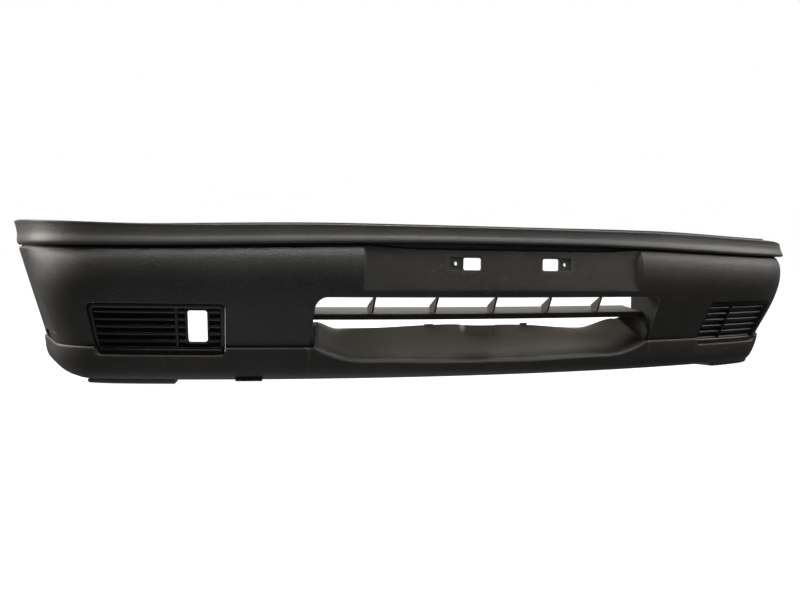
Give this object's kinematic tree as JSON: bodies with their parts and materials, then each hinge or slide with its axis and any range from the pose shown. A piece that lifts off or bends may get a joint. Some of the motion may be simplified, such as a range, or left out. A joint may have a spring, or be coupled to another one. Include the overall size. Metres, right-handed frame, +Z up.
{
  "type": "bumper cover",
  "caption": "Charcoal moulded front bumper cover with a rub moulding, plate recess, slatted intake, air scoop and gloss black side grilles.",
  "frame": {"origin": "middle of the footprint, on the floor under the cover", "axes": "+X across the car towards the plain side grille, +Y from the front face back towards the car, +Z up"},
  "size_m": [1.698, 0.4844, 0.291],
  "materials": {
    "grained_skin": "fine leather grain, charcoal",
    "rub_moulding": "fine grain, slightly smoother",
    "valance_skin": "fine grain, warm charcoal",
    "gloss_black": "gloss black moulding",
    "intake_black": "satin moulding",
    "black_nylon": "moulded nylon",
    "zinc_steel": "zinc plated"
  },
  "bodies": {
    "root": {"main_fascia": "grained_skin", "upper_strip": "rub_moulding", "top_rail": "black_nylon", "lower_valance": "valance_skin", "corner_extension_left": "valance_skin", "corner_extension_right": "valance_skin", "side_grille_window": "gloss_black", "side_grille_plain": "gloss_black", "intake_blade": "intake_black", "intake_strut_1": "intake_black", "intake_strut_2": "intake_black", "intake_strut_3": "intake_black", "intake_strut_4": "intake_black", "intake_strut_5": "intake_black", "plate_nut_left": "black_nylon", "side_bracket_left": "zinc_steel", "side_stud_left": "zinc_steel", "edge_nut_left": "zinc_steel", "plate_nut_right": "black_nylon", "side_bracket_right": "zinc_steel", "side_stud_right": "zinc_steel", "edge_nut_right": "zinc_steel", "valance_clip_1": "black_nylon", "valance_clip_2": "black_nylon", "valance_clip_3": "black_nylon", "valance_clip_4": "black_nylon", "valance_clip_5": "black_nylon", "valance_clip_6": "black_nylon", "bracket_screw_1": "zinc_steel", "bracket_screw_2": "zinc_steel", "bracket_screw_3": "zinc_steel", "bracket_screw_4": "zinc_steel", "top_screw_1": "zinc_steel", "top_screw_2": "zinc_steel", "top_screw_3": "zinc_steel", "top_screw_4": "zinc_steel", "top_screw_5": "zinc_steel", "top_screw_6": "zinc_steel"}
  },
  "joints": []
}
